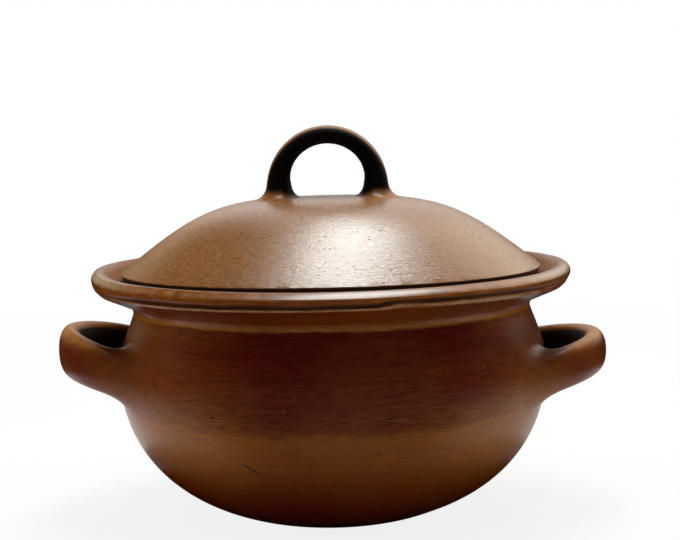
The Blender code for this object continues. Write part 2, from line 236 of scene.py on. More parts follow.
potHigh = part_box("pot_body")[1]
pot = dict(
    footRadius=0.050, footAngle=14, footPull=0.041,  # the wall leaves the foot at this slope
    footClear=0.0003, footEdge=0.004,  # height of the underside, and its rounded edge
    bellyRadius=0.1178, bellyHeight=0.080, bellyPull=0.042, shoulderPull=0.014,
    neckRadius=0.1083, neckHeight=0.1155, neckLean=12, neckPull=0.010, neckRound=0.004,
    wall=0.008, floor=0.009, floorRound=0.004, throatRound=0.006,
    neckTrim=0.0003, throatTrim=0.0005,  # the wall stops this far before a rounded corner
    rimRadius=potHigh.x, rimTop=potHigh.z, seatSlope=29,
    crest=0.0020, crestInset=0.0062, nose=0.0026, noseDrop=0.0052,
    bead=0.0022, beadInset=0.0004, beadDrop=0.0030,  # bead under the nose, with a groove between
    innerFrom=0.010, innerTo=0.022,  # along the seat from the crest, where the slip ends
    rimFrom=0.005, rimTo=0.002,  # in from the rim's edge, where the marks of the rim begin
    outOfRound=0.0004, trueFoot=(0.001, 0.006),  # stray from a circle, and none at the foot
    throwPitch=0.0026, throwDepth=0.00004,  # finger lines outside, a helix
    throwFrom=(0.004, 0.02), throwEnd=0.004, throwShare=(0.6, 0.4),
    innerPitch=0.0085, innerDepth=0.00022, ringsFrom=(0.010, 0.03),  # and the wider ones inside
    grooveDepth=0.00050, grooveWaver=0.00030,  # the groove was drawn by hand
    grooveStep=0.0014, grooveMeets=radians(-78),  # and its ends miss each other here
    grooveEnds=0.006,  # share of a turn over which they pass
    chipCount=34, chipWidth=0.010, chipDepth=0.00035,  # chips along the bead
    ridge=0.00020,  # soft ridge where the flare leaves the neck
    earSide=(0.66, 0.97),  # cosines from which the turn counts as lying towards the ears
    grooveFill=0.0006, beadTuck=0.0017,  # there the groove fills up and the bead goes in
    roll=0.0006, sideRoll=0.0012,  # how far the lip's face is rounded out, and how much more there
    rollStart=0.0015,  # this far to both sides of the crest's middle
    frontDip=0.0009, dipFrom=0.002,  # the crest of the rim sags towards the front
    sideLift=dict(left=0.0019, right=0.0010), liftFrom=0.003,  # and rises towards the ears
    liftRound=(0.25, 0.80), liftBack=(-0.60, 0.05), liftOut=(0.1185, 0.1235),
    # belts round the pot: how far below their level they lie, and half their height
    grooveBelt=(0, 0.0008), strayBelt=(0, 0.0016), fillBelt=(0, 0.0010), shadeBelt=(0, 0.0011),
    tuckBelt=(0.0006, 0.0022), chipBelt=(0.0016, 0.0008), rubbedBead=(0.0010, 0.0013),
    rollBelt=(0.0020, 0.0019), rubbedFace=(0.0022, 0.0020), ridgeBelt=(0.0008, 0.0014),
    rubbedFoot=(0, 0.003),
    # height and the tone there, which paints light and shade as well as the slip:
    # painted shade at the foot, a painted floor reflection low on the belly with a crisp top, a painted
    # highlight line on the neck's ridge, lit faces on bead and lip
    tonesAndPaintedLight=((0, 0.02), (0.017, 0.04), (0.027, 0.15), (0.040, 0.39), (0.049, 0.62), (0.0600, 0.72),
           (0.0622, 0.68), (0.0628, 0.34), (0.070, 0.18), (0.081, 0.10), (0.1118, 0.0), (0.1126, 0.90),
           (0.1136, 0.80), (0.1160, 0.26), (0.1243, 0.16), (0.1252, 0.62), (0.1268, 0.66), (0.1278, 0.45),
           (0.1295, 0.62), (0.1335, 0.85)),
    toneWaver=0.0005,
    # height and how strongly the wall was combed there
    combing=((0.040, 0.1), (0.058, 0.0), (0.0625, 1.0), (0.066, 1.0), (0.076, 0.7), (0.090, 0.5),
             (0.104, 0.4), (0.110, 0.8)),
    # height and how much of the painted side light shows there
    sideLightShares=((0.028, 0.25), (0.050, 1.0), (0.066, 1.0), (0.098, 0.42), (0.103, 0.42),
             (0.110, 1.0), (0.118, 0.0)),
    # painted side light, as sheen towards the ears: its strength, and the cosines where it starts and is full
    sideLightStrength=0.50, sideLightTo=0.88, sideLightFrom=dict(left=0.15, right=0.30),  # cosines
    sideLightLate=0.28, sideLightLateFrom=(0.064, 0.084),  # on the right it starts later higher up
    leftSideLight=0.30, leftSideLightAt=(0.099, 0.010), leftSideLightFrom=(0, 0.5),  # the left has more below the neck
    footWear=0.7, footWearFrom=(0.04, 0.052), faceStart=0.001,
    faceWear=(0.6, 0.4), beadWear=(0.85, 0.15), beadSpared=0.5,  # the bead is spared by the ears
    faceShine=0.8,
    # painted shade in the groove under the lip
    grooveShade=0.80, grooveShadeFrom=(0.25, 0.95),  # black in the groove, at front and back
    # painted shade on the seat, in the gap under the lid's edge
    seatShade=0.9, seatShadeInset=0.0155, seatShadeWidth=0.0032, seatShadeShare=(0.25, 0.75), seatShadeFrom=(0.35, 0.80),
    # painted shade on the wall behind each ear's hole
    earShade=0.9, seatDry=(-0.001, 0.003), seatStart=0.003,
    steps=320,
)
crestCentre = np.array([pot["rimRadius"] - pot["crestInset"], pot["rimTop"] - pot["crest"]])
noseCentre = np.array([pot["rimRadius"] - pot["nose"], pot["rimTop"] - pot["noseDrop"]])
beadCentre = np.array([pot["rimRadius"] - pot["beadInset"] - pot["bead"], noseCentre[1] - pot["beadDrop"]])


def bellyLine():
    # two cubics, foot to widest part and widest part to neck
    lean, rise = radians(pot["neckLean"]), radians(pot["footAngle"])
    foot, widest = (pot["footRadius"], 0), (pot["bellyRadius"], pot["bellyHeight"])
    neck = (pot["neckRadius"], pot["neckHeight"])
    low = cubic(foot, (foot[0] + pot["footPull"] * cos(rise), pot["footPull"] * sin(rise)),
                (widest[0], widest[1] - pot["bellyPull"]), widest, 56)
    toNeck = (neck[0] + pot["neckPull"] * sin(lean), neck[1] - pot["neckPull"] * cos(lean))
    high = cubic(widest, (widest[0], widest[1] + pot["shoulderPull"]), toNeck, neck, 34)
    return joined([low, high])


def lipLine():
    # bead arc, groove, nose arc, the straight face that touches nose and crest, and the crest arc to the seat
    span = np.linalg.norm(noseCentre - beadCentre)
    atBead = acos((span ** 2 + pot["bead"] ** 2 - pot["nose"] ** 2) / (2 * span * pot["bead"]))
    atNose = acos((span ** 2 + pot["nose"] ** 2 - pot["bead"] ** 2) / (2 * span * pot["nose"]))
    away = beadCentre - np.array([pot["neckRadius"], pot["neckHeight"]])
    under = atan2(away[1], away[0]) - asin(pot["bead"] / np.linalg.norm(away))
    climb = crestCentre - noseCentre
    face = atan2(climb[1], climb[0]) - acos((pot["nose"] - pot["crest"]) / np.linalg.norm(climb))
    bead = arcOf(beadCentre, pot["bead"], under - pi / 2, pi / 2 - atBead, 14)
    nose = arcOf(noseCentre, pot["nose"], atNose - pi / 2, face, 18)
    crest = arcOf(crestCentre, pot["crest"], face, radians(pot["seatSlope"]) + pi / 2, 12)
    return joined([bead, nose, straight(nose[-1], crest[0], 6), crest])


def potSection():
    # foot, wall, neck, underside of the flare, lip, seat, throat, inside wall and floor
    wall, lip = bellyLine(), lipLine()
    neck = eased(wall[-6], wall[-1], lip[0], pot["neckRound"], 12)
    inside = wall - pot["wall"] * outward(wall)
    inside = inside[inside[:, 1] > pot["floor"] + pot["floorRound"] / 2]
    throatRadius = pot["neckRadius"] - pot["wall"]
    slope = tan(radians(pot["seatSlope"]))
    corner = (throatRadius, lip[-1][1] - (lip[-1][0] - throatRadius) * slope)
    throat = eased(lip[-1], corner, inside[-8], pot["throatRound"], 12)
    inside = inside[inside[:, 1] < throat[-1][1] - pot["throatTrim"]]
    floorCorner = (inside[0][0] - pot["floorRound"], pot["floor"])
    floorEdge = eased(inside[0], floorCorner, (0, pot["floor"]), pot["floorRound"], 8)
    outside = wall[wall[:, 1] < neck[0][1] - pot["neckTrim"]]
    under = straight((atAxis, pot["footClear"]), (pot["footRadius"] - pot["footEdge"], pot["footClear"]), 12)
    parts = [under, outside, neck, straight(neck[-1], lip[0], 14), lip, straight(lip[-1], throat[0], 16),
             throat, inside[::-1], floorEdge, straight(floorEdge[-1], (atAxis, pot["floor"]), 14)]
    return joined(parts), len(joined(parts[:5]))


def outOfRound(angle, height):
    # always inwards, from 0 to the set depth, and turning slowly with the height
    return -pot["outOfRound"] * (0.5 + 0.5 * wander(angle + 6 * height, (2, 3, 5), 11))


potLine, potRimRow = potSection()
potRun = travelled(potLine)[:, None]
potRadius, potHeight = potLine[:, :1], potLine[:, 1:]
rimRun = potRun[potRimRow, 0]
potInner = ramp(potRun, rimRun + pot["innerFrom"], rimRun + pot["innerTo"])
potOuter = ramp(potRadius, pot["rimRadius"] - pot["rimFrom"], pot["rimRadius"] - pot["rimTo"])
potOuter = potOuter * (1 - potInner)
grooveHeight = pot["beadDrop"] ** 2 + pot["bead"] ** 2 - pot["nose"] ** 2  # where the two arcs meet
grooveHeight = beadCentre[1] + grooveHeight / (2 * pot["beadDrop"])
wallLine = bellyLine()


def belt(height, level, key):
    # a Gaussian belt round the pot, 1 along its middle
    drop, half = pot[key]
    return near(height, level - drop, half)


def grooveStray(angle):
    # height of the groove above its mean: a slow helix whose two ends miss each other, and a fine waver
    turn = ((angle - pot["grooveMeets"]) / (2 * pi)) % 1
    helix = (0.5 - turn) * ramp(np.minimum(turn, 1 - turn), 0, pot["grooveEnds"])
    return pot["grooveStep"] * helix + pot["grooveWaver"] * wander(angle, (7, 13, 23, 37), 7)


def beadChips(angle):
    return nicks(angle, pot["chipCount"], pot["chipWidth"], 41)


def byEars(angle):
    # 1 towards the ears, 0 towards front and back
    return ramp(np.abs(np.cos(angle)), *pot["earSide"])


def potShift(angle):
    # stray from the circle, a helix of finger lines outside and a wider one inside, the neck's ridge, the
    # lip's roundness, the groove's own depth and its fill by the ears, the bead's tuck there and its chips
    sides = byEars(angle)
    lines = np.cos(2 * pi * potRun / pot["throwPitch"] + angle) - 1
    rings = np.cos(2 * pi * potRun / pot["innerPitch"] + angle) - 1
    onWall = 1 - ramp(potHeight, pot["neckHeight"] - pot["throwEnd"], pot["neckHeight"])
    onWall = ramp(potHeight, *pot["throwFrom"]) * onWall
    lines = lines * pot["throwDepth"] * onWall * (1 - potInner)
    lines = lines * portion(wander(angle, (3, 7), 5), *pot["throwShare"])
    groove = belt(potHeight, grooveHeight, "grooveBelt") * potOuter * pot["grooveDepth"]
    groove = groove * (1 + wander(angle, (5, 11, 29, 41), 9))
    filled = belt(potHeight, grooveHeight, "fillBelt") * potOuter * pot["grooveFill"] * sides
    tucked = belt(potHeight, beadCentre[1], "tuckBelt") * potOuter * pot["beadTuck"] * sides
    onFace = ramp(potRadius, crestCentre[0] - pot["rollStart"], crestCentre[0] + pot["rollStart"])
    rolled = belt(potHeight, pot["rimTop"], "rollBelt") * onFace * (pot["roll"] + pot["sideRoll"] * sides)
    chips = belt(potHeight, beadCentre[1], "chipBelt") * potOuter * pot["chipDepth"] * beadChips(angle)
    ridge = belt(potHeight, pot["neckHeight"], "ridgeBelt") * (1 - potInner) * pot["ridge"]
    return (outOfRound(angle, potHeight) * ramp(potHeight, *pot["trueFoot"]) + lines
            + rings * pot["innerDepth"] * potInner * ramp(potHeight, *pot["ringsFrom"]) + ridge + rolled
            + filled - groove * (1 - sides) - tucked - chips)


def potLift(angle):
    # the groove's stray from its mean height, the crest's rise towards the ears, each side by its own, and
    # the rim's dip, deepest at the front as (1 - sine)^2 / 4
    dip = pot["frontDip"] * (0.5 - 0.5 * np.sin(angle)) ** 2
    dip = dip * ramp(potHeight, noseCentre[1] - pot["dipFrom"], crestCentre[1])
    rise = np.where(np.cos(angle) < 0, pot["sideLift"]["left"], pot["sideLift"]["right"])
    rise = rise * ramp(np.abs(np.cos(angle)), *pot["liftRound"]) * ramp(potRadius, *pot["liftOut"])
    rise = rise * ramp(np.sin(angle), *pot["liftBack"])
    rise = rise * ramp(potHeight, noseCentre[1] - pot["liftFrom"], crestCentre[1])
    return grooveStray(angle) * belt(potHeight, grooveHeight, "strayBelt") * potOuter + rise - dip


def onBelly(angle, height):
    # a point of the outside wall at an angle and a height
    radius = np.interp(height, wallLine[:, 1], wallLine[:, 0]) + outOfRound(angle, height)
    return polar(radius, angle, height)


def underEars(angle, height):
    # 1 on the wall behind each ear's hole, 0 away from it
    masks = []
    for side, middle in (("left", pi), ("right", 0)):
        around = np.abs((angle - middle + pi) % (2 * pi) - pi)
        aside = np.abs(height - ear["heights"][side])
        masks.append((1 - ramp(around, *ear["holeRound"])) * (1 - ramp(aside, *ear["holeTall"])))
    return np.maximum(*masks)


def paintedSideLight(angle, height):
    # painted side light: the sides towards the ears are painted lighter than front and back, as sheen, by a
    # share that goes with the height
    late = pot["sideLightFrom"]["right"] + pot["sideLightLate"] * ramp(height, *pot["sideLightLateFrom"])
    start = np.where(np.cos(angle) < 0, pot["sideLightFrom"]["left"], late)
    onLeft = near(height, *pot["leftSideLightAt"]) * ramp(-np.cos(angle), *pot["leftSideLightFrom"])
    share = between(height, pot["sideLightShares"]) + pot["leftSideLight"] * onLeft
    return pot["sideLightStrength"] * ramp(np.abs(np.cos(angle)), start, pot["sideLightTo"]) * share


def makePot():
    angle = fullTurn(pot["steps"])[None, :]
    outside, sides, frontBack = 1 - potInner, byEars(angle), np.abs(np.sin(angle))
    trueHeight = potHeight - grooveStray(angle)  # height once the groove's stray is taken away
    foot = pot["footWear"] * belt(potHeight, 0, "rubbedFoot")
    foot = foot * ramp(potRadius, *pot["footWearFrom"]) * outside
    face = ramp(potRadius, crestCentre[0] - pot["faceStart"], crestCentre[0])
    face = belt(potHeight, pot["rimTop"], "rubbedFace") * face
    bead = belt(trueHeight, beadCentre[1], "rubbedBead") * potOuter
    bead = bead * portion(beadChips(angle), *pot["beadWear"]) * (1 - pot["beadSpared"] * sides)
    wornAndLit = np.maximum(np.maximum(foot, portion(sides, *pot["faceWear"]) * face), bead)
    # the tone carries painted light: the height table's reflection, highlight line and shade, and the painted
    # side light
    waver = potHeight + pot["toneWaver"] * wander(angle, (9, 17, 31, 53), 13)
    tone = between(waver, pot["tonesAndPaintedLight"]) + paintedSideLight(angle, potHeight)
    # painted shade: black in the groove, on the seat under the lid's edge and on the wall behind each ear's
    # hole
    groove = pot["grooveShade"] * belt(trueHeight, grooveHeight, "shadeBelt") * potOuter
    groove = groove * ramp(frontBack, *pot["grooveShadeFrom"])
    seatShade = pot["seatShade"] * near(potRadius, pot["rimRadius"] - pot["seatShadeInset"], pot["seatShadeWidth"])
    seatShade = seatShade * ramp(potRun, rimRun, rimRun + pot["seatStart"]) * (potHeight > pot["neckHeight"])
    seatShade = seatShade * portion(ramp(frontBack, *pot["seatShadeFrom"]), *pot["seatShadeShare"])
    paintedShade = np.maximum(np.maximum(groove, seatShade), pot["earShade"] * underEars(angle, potHeight) * outside)
    dryFrom, dryTo = pot["seatDry"]
    masks = {"wornAndLit": wornAndLit, "inner": potInner, "tone": tone, "paintedShade": paintedShade, "shine": pot["faceShine"] * face,
             "combed": between(waver, pot["combing"]) * outside,
             "dry": ramp(potRun, rimRun + dryFrom, rimRun + dryTo)}
    rings = turned(potLine, potShift, potLift, pot["steps"])
    return addSkin("potBody", rings, masks, "pot", "pot_body")


# Strap ears

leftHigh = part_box("left_handle")[1]
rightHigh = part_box("right_handle")[1]
ear = dict(
    reach=rightHigh.x, tipClear=0.00035, span=0.104, thickness=0.012, power=2.25,
    fuller=0.0008, slimmer=0.0002,  # the strap is that much thicker towards its hole, and slimmer all round
    band=dict(left=0.0214, right=0.0200),
    swell=dict(left=0.0060, right=0.0022),  # how much more the upper edge climbs outwards
    rootSpread=0.004, rootFall=0.0035, fade=0.011,  # the strap swells and sags towards its roots
    lift=0.0075,  # the outer end stands higher than the roots
    wobble=0.0002, wobblePace=3.1, wobbleStart=dict(left=0.4, right=2.2),
    skirtStart=0.0120,  # how far from the belly the smear of slip that lutes the root begins
    skirtOut=0.0160, skirtHole=0.0175, skirtTop=0.0060, skirtBelow=0.0110,
    rootPower=2.2, rootRows=24, pull=1.10, onSkin=0.00004,
    sunk=((1.12, 0.0008), (1.06, 0.00025), (1.02, 0.00008)),  # share of the footprint and how deep
    # where the pot's wall behind the hole gets painted shade
    holeRound=(0.18, 0.36), holeTall=(0.004, 0.015),  # black wall behind the hole: radians and metres
    # how far from the belly these set in
    freeFrom=(0.006, 0.016), outerEnd=(0.014, 0.027), dryAt=(0.0045, 0.0032),
    # the upper side is painted lighter, as light from above, with rubbing; these and the next are sines and
    # cosines round the strap
    topFrom=(0.50, 0.97), topLightAndWear=0.85, freeTone=0.25, topLightTone=0.75, dryFrom=(-0.1, 0.5),
    lighter=dict(left=0.32, right=0.0),  # how much farther down that reaches outwards
    patches=0.09, patchStart=dict(left=0, right=2),  # left by the fingers
    # painted shade on the strap towards its hole
    paintedShade=0.98, shadeFrom=(0.15, 0.45), shadeTop=(0.62, 0.80), shadeBelow=(0.6, 0.9),
    cleanRoot=(-0.2, 0.3), combed=0.6,
    rows=90, steps=96,
)
ear["free"] = ear["reach"] - pot["bellyRadius"]


def earLevel(side, high):
    # height of the strap's middle at its roots, down from the top of its outer end
    climb = (ear["lift"] + ear["swell"][side]) * (1 - ear["thickness"] / 2 / ear["free"])
    return high - climb - ear["band"][side] / 2


ear["heights"] = {"left": earLevel("left", leftHigh.z), "right": earLevel("right", rightHigh.z)}


def earRings(side):
    # a half ellipse out from the belly, swept with an oblong that swells and drops towards the wall,
    # with a skirt at each root; the left ear is the right one turned half way round
    turn = 0 if side == "right" else pi
    half = (ear["span"] - ear["thickness"]) / 2
    base = sqrt(pot["bellyRadius"] ** 2 - half ** 2)
    rise = ear["reach"] - ear["tipClear"] - ear["thickness"] / 2 - base
    t = np.linspace(-pi / 2, pi / 2, 2001)
    away = np.hypot(base + rise * np.cos(t), half * np.sin(t)) - pot["bellyRadius"]
    free = t[away > ear["skirtStart"]]
    t = np.linspace(free[0], free[-1], ear["rows"])
    x, y = base + rise * np.cos(t), half * np.sin(t)
    away = np.hypot(x, y) - pot["bellyRadius"]
    share = np.exp(-away / ear["fade"])
    fall = ear["rootFall"] * share / 2
    grow = ear["swell"][side] * away / ear["free"] / 2
    wobble = ear["wobble"] * np.sin(ear["wobblePace"] * t + ear["wobbleStart"][side]) - ear["wobble"]
    level = ear["heights"][side] + ear["lift"] * away / ear["free"] - fall + grow + wobble
    normal = unit(stacked(half * np.cos(t), rise * np.sin(t), 0))
    centre = stacked(x, y, level) - normal * ear["fuller"] / 2
    thick = (ear["thickness"] + ear["fuller"]) / 2 + ear["rootSpread"] * share - ear["slimmer"]
    halves = stacked(thick, ear["band"][side] / 2 + fall + grow)
    rings = strapRings(centre, normal, np.array([0, 0, 1.0]), halves, ear)
    front, back = (earRoot(rings[end], rings[after], way, side, half, turn)
                   for end, after, way in ((0, 1, -1), (-1, -2, 1)))
    x, y, z = np.moveaxis(np.concatenate([front, rings, back[::-1]]), -1, 0)
    c, s = cos(turn), sin(turn)
    return stacked(x * c - y * s, x * s + y * c, z)


def earRoot(ring0, ring1, way, side, half, turn):
    # an oblong footprint on the belly, wider than the strap by the skirt
    c, s = oblong(ear["steps"], ear["rootPower"])
    bearing = way * asin(half / pot["bellyRadius"])
    across = ear["thickness"] / 2 + ear["rootSpread"] + ear["skirtHole"]
    across = across + (ear["skirtOut"] - ear["skirtHole"]) * (0.5 + 0.5 * c)
    down = ear["band"][side] / 2 + ear["rootFall"] / 2 + ear["skirtTop"]
    down = down + (ear["skirtBelow"] - ear["skirtTop"]) * (0.5 - 0.5 * s)
    level = ear["heights"][side] - ear["rootFall"] / 2

    def footprint(size, depth):
        spot = onBelly(bearing + turn + way * size * across * c / pot["bellyRadius"], level + size * down * s)
        x = spot[:, 0] * cos(turn) + spot[:, 1] * sin(turn)
        y = spot[:, 1] * cos(turn) - spot[:, 0] * sin(turn)
        inwards = unit(stacked(-x, -y, 0))
        return stacked(x, y, spot[:, 2]) + inwards * depth

    return lutedRoot(footprint, ring0, ring1, ear)


def makeEar(side):
    rings = earRings(side)
    a = fullTurn(ear["steps"])[None, :]
    c, s, height = np.cos(a), np.sin(a), rings[..., 2]
    away = np.hypot(rings[..., 0], rings[..., 1]) - pot["bellyRadius"]
    free, outerEnd = (ramp(away.mean(axis=1), *ear[key])[:, None] for key in ("freeFrom", "outerEnd"))
    topLow, topHigh = ear["topFrom"]
    top = ramp(s, topLow - ear["lighter"][side] * outerEnd, topHigh)
    bearing = np.arctan2(rings[..., 1], rings[..., 0])
    along = np.linspace(0, 2 * pi, len(rings))[:, None]
    patches = ear["patches"] * wander(2 * along + a + ear["patchStart"][side], (1, 2, 3), 51)
    # the root takes the belly's tone with its painted light, the free strap its own, with painted light on
    # top
    tone = (between(height, pot["tonesAndPaintedLight"]) + paintedSideLight(bearing, height)) * (1 - free)
    tone = tone + free * (ear["freeTone"] + patches + ear["topLightTone"] * top)
    # painted shade, black towards the hole, but neither on top nor along the lower edge, nor under the roots
    paintedShade = ear["paintedShade"] * ramp(-c, *ear["shadeFrom"]) * (1 - ramp(s, *ear["shadeTop"]))
    paintedShade = paintedShade * (1 - ramp(-s, *ear["shadeBelow"])) * (1 - (1 - free) * ramp(-s, *ear["cleanRoot"]))
    masks = {"wornAndLit": ear["topLightAndWear"] * free * top, "inner": 0.0, "tone": tone, "paintedShade": paintedShade,
             "combed": ear["combed"] * (1 - free),
             "dry": near(away, *ear["dryAt"]) * ramp(s, *ear["dryFrom"])}
    return addSkin(side + "Ear", rings, masks, "pot", side + "_handle")


# Lid

lidLow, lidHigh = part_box("lid_dome")
lid = dict(
    radius=lidHigh.x, crown=lidHigh.z, wall=0.007, edgeSlope=39, edgePull=0.0585, crownPull=0.057,
    overhang=0.0015, undercut=0.0021,  # a crisp corner over a cut-back edge
    heelIn=0.0016, footClear=0.0003, heelRound=0.0011, toeRound=0.0009, cornerRound=0.0006,
    heelTrim=0.0005,  # the hollow stops this far before its rounded heel
    innerFrom=0.006, innerTo=0.002,  # along the section to both sides of the toe, where the slip ends
    outOfRound=0.0003, roundTo=0.05, throwPitch=0.0031, throwDepth=0.000012, throwFrom=(0.02, 0.05),
    nickCount=90, nickWidth=0.007, nickDepth=0.0007,  # small chips along the lower edge
    brinkHeight=0.0011, brinkFrom=0.002, brinkTo=0.0008, brinkWear=(0.3, 0.7),
    frontLift=0.0006, liftFrom=0.05,  # the edge warped up a little at the front
    # painted shade on the cut-back edge under the corner
    paintedShade=0.99, shadeFrom=(-0.0001, 0.0005), tone=0.5,
    steps=320,
)
lid["edge"] = lid["wall"] / 2
lid["edgeRadius"] = lid["radius"] - lid["edge"]
lid["edgeHeight"] = lidLow.z + lid["edge"]


def domeLine():
    # one cubic from the crown to the edge, level at the crown
    slope = radians(lid["edgeSlope"])
    ends = (lid["edgeRadius"] + lid["edge"] * sin(slope),
            lid["edgeHeight"] + lid["edge"] * cos(slope))
    shoulder = (ends[0] - lid["edgePull"] * cos(slope), ends[1] + lid["edgePull"] * sin(slope))
    return cubic((atAxis, lid["crown"]), (lid["crownPull"], lid["crown"]), shoulder, ends, 130)


dome = domeLine()
lidCorner = dome[-1] + lid["overhang"] * unit(dome[-1] - dome[-2])


def lidSection():
    # hollow from the axis outwards, narrow foot, cut-back edge, crisp corner, and the dome back to the axis
    hollow = dome + lid["wall"] * outward(dome)
    bottom = lidLow.z + lid["footClear"]
    heel = np.array([lid["edgeRadius"] - lid["heelIn"], bottom])
    toe = np.array([lid["radius"] - lid["undercut"], bottom])
    atHeel = eased(hollow[-9], heel, toe, lid["heelRound"], 6)
    atToe = eased(heel, toe, lidCorner, lid["toeRound"], 7)
    atCorner = eased(toe, lidCorner, dome[-2], lid["cornerRound"], 8)
    parts = [hollow[hollow[:, 0] < atHeel[0][0] - lid["heelTrim"]], atHeel, straight(atHeel[-1], atToe[0], 4),
             atToe, straight(atToe[-1], atCorner[0], 8), atCorner, dome[::-1]]
    return joined(parts), len(joined(parts[:4]))


lidLine, lidToeRow = lidSection()
lidRun = travelled(lidLine)[:, None]
lidRadius, lidHeight = lidLine[:, :1], lidLine[:, 1:]
toeRun = lidRun[lidToeRow, 0]
lidInner = 1 - ramp(lidRun, toeRun - lid["innerFrom"], toeRun + lid["innerTo"])
lidBrink = ramp(lidRadius, lidCorner[0] - lid["brinkFrom"], lidCorner[0] - lid["brinkTo"])
lidBrink = near(lidHeight, lidCorner[1], lid["brinkHeight"]) * lidBrink


def lidChips(angle):
    return nicks(angle, lid["nickCount"], lid["nickWidth"], 23)


def lidShift(angle):
    # stray from the circle, a faint helix of finger lines outside and inside, and chips along the edge
    lines = np.cos(2 * pi * lidRun / lid["throwPitch"] + angle) - 1
    return (lidStray(angle, lidRadius) + lines * lid["throwDepth"] * ramp(lidRadius, *lid["throwFrom"])
            - lidChips(angle) * lid["nickDepth"] * lidBrink)


def lidLift(angle):
    # grows from half way out to the edge, and round to the front as the square of the sine
    outer = ramp(lidRadius, lid["liftFrom"], lid["radius"])
    return lid["frontLift"] * outer * np.maximum(-np.sin(angle), 0) ** 2


def lidStray(angle, radius):
    # from 0 to the set depth, below the true dome, and fading out towards the axis
    stray = 0.5 + 0.5 * wander(angle + 9 * radius, (2, 3, 4), 31)
    return -lid["outOfRound"] * stray * ramp(radius, 0.0, lid["roundTo"])


def onDome(radius):
    return np.interp(radius, dome[:, 0], dome[:, 1])


def onLid(x, y):
    # a point of the dome over a place in plan
    radius, angle = np.hypot(x, y), np.arctan2(y, x)
    return stacked(x, y, onDome(radius) + lidStray(angle, radius))


def makeLid():
    angle = fullTurn(lid["steps"])[None, :]
    # painted shade from the corner down
    paintedShade = lid["paintedShade"] * ramp(lidCorner[1] - lidHeight, *lid["shadeFrom"]) * (1 - lidInner)
    wornAndLit = lidBrink * portion(lidChips(angle), *lid["brinkWear"])
    masks = {"wornAndLit": wornAndLit, "inner": lidInner, "tone": lid["tone"], "paintedShade": paintedShade}
    rings = turned(lidLine, lidShift, lidLift, lid["steps"])
    return addSkin("lidDome", rings, masks, "lid", "lid_dome")


# Loop on the lid

loopLow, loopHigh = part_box("lid_handle")
loop = dict(
    middle=(loopLow.x + loopHigh.x) / 2, top=loopHigh.z, topClear=0.0002, span=0.0632, leg=0.0078,
    topThickness=0.0097, legThickness=0.0098, depth=0.030, power=2.6,
    rootSpread=0.0035, rootDepth=0.004, fade=0.011,
    skirtStart=0.0060, skirtOut=0.0070, skirtHole=0.0040, skirtDeep=0.0060,
    rootPower=2.2, rootRows=20, pull=1.10, onSkin=0.0001,
    sunk=((1.12, 0.0016), (1.06, 0.0006), (1.02, 0.0002)),  # share of the footprint and how deep
    shadeFrom=(0.0008, 0.0060),  # painted shade, black from these heights over the dome
    shadeInside=0.003, insideFrom=(0, 0.8),  # and from lower down inside the loop
    highFrom=0.004,  # over the crown, and up to as much under the top
    # the outer side is painted light again, a lit strip that widens towards the top; cosines round the strap
    stripFrom=(0.74, -0.28), stripTo=(1.0, -0.15), stripShare=(0.35, 0.65), stripClean=0.85,
    litStripWear=0.8, wearAt=(0.60, 0.3), shine=0.4, tone=0.5,
    rows=110, steps=96,
)


def loopRings():
    # straight legs under a half ellipse, swept with an oblong that swells towards the feet
    half = (loop["span"] - loop["legThickness"]) / 2
    seam = float(onDome(half))
    spring = lid["crown"] + loop["leg"]
    rise = loop["top"] - loop["topClear"] - loop["topThickness"] / 2 - spring
    t = np.linspace(pi, 0, 400)
    arch = stacked(half * np.cos(t), spring + rise * np.sin(t))
    foot = seam + loop["skirtStart"]
    line = joined([straight((-half, foot), arch[0], 20), arch, straight(arch[-1], (half, foot), 20)])
    run = travelled(line)
    even = np.linspace(0, run[-1], loop["rows"])
    line = stacked(np.interp(even, run, line[:, 0]), np.interp(even, run, line[:, 1]))
    share = np.exp(-(line[:, 1] - seam) / loop["fade"])
    climb = np.clip((line[:, 1] - spring) / rise, 0, 1)
    thick = loop["legThickness"] + (loop["topThickness"] - loop["legThickness"]) * climb
    halves = stacked(thick / 2 + loop["rootSpread"] * share, loop["depth"] / 2 + loop["rootDepth"] * share)
    along = unit(np.gradient(line, axis=0))
    side = stacked(-along[:, 1], 0, along[:, 0])
    centre = stacked(line[:, 0] + loop["middle"], 0, line[:, 1])
    rings = strapRings(centre, side, np.array([0, 1.0, 0]), halves, loop)
    first, last = loopRoot(rings[0], rings[1], -1, half), loopRoot(rings[-1], rings[-2], 1, half)
    return np.concatenate([first, rings, last[::-1]])


def loopRoot(ring0, ring1, way, half):
    # an oblong footprint on the dome, wider than the strap by the skirt
    c, s = oblong(loop["steps"], loop["rootPower"])
    across = loop["legThickness"] / 2 + loop["rootSpread"] + loop["skirtHole"]
    across = across + (loop["skirtOut"] - loop["skirtHole"]) * (0.5 + 0.5 * c)
    deep = loop["depth"] / 2 + loop["rootDepth"] + loop["skirtDeep"]

    def footprint(size, depth):
        spot = onLid(loop["middle"] + way * half + way * size * across * c, size * deep * s)
        return spot - np.array([0, 0, depth])

    return lutedRoot(footprint, ring0, ring1, loop)


